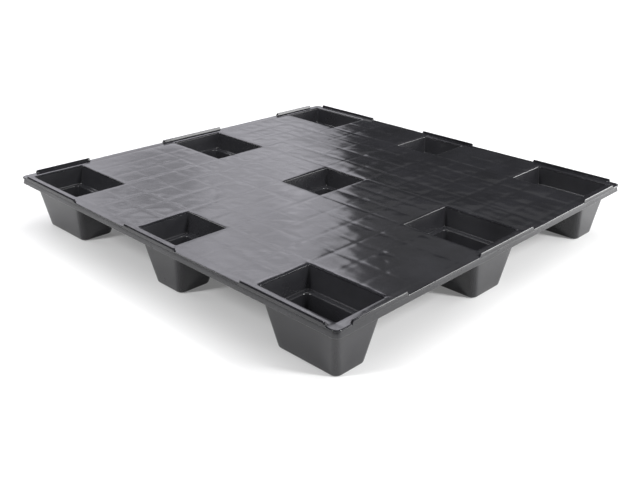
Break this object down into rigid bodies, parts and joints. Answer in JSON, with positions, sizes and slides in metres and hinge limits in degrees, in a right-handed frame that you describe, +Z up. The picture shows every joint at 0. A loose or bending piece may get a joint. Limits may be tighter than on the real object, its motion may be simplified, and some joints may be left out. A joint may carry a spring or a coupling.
{
  "type": "nestable plastic pallet",
  "caption": "Square nestable plastic pallet: a flat deck with raised edge lips on a rib frame, carried by hollow tapered feet that open as pockets in the deck.",
  "frame": {"origin": "on the ground under the middle of the pallet", "axes": "+X from the left side to the right side, +Y from the front to the back, +Z up"},
  "size_m": [1.14, 1.14, 0.145],
  "materials": {
    "deck_skin": "glossy black polyethylene, faintly wavy",
    "frame_plastic": "satin black polyethylene",
    "foot_plastic": "satin black polyethylene"
  },
  "bodies": {
    "root": {"deck_plate": "deck_skin", "rib_frame": "frame_plastic", "foot_front_left": "foot_plastic", "foot_middle_left": "foot_plastic", "foot_back_left": "foot_plastic", "foot_front_middle": "foot_plastic", "foot_centre": "foot_plastic", "foot_back_middle": "foot_plastic", "foot_front_right": "foot_plastic", "foot_middle_right": "foot_plastic", "foot_back_right": "foot_plastic"}
  },
  "joints": []
}
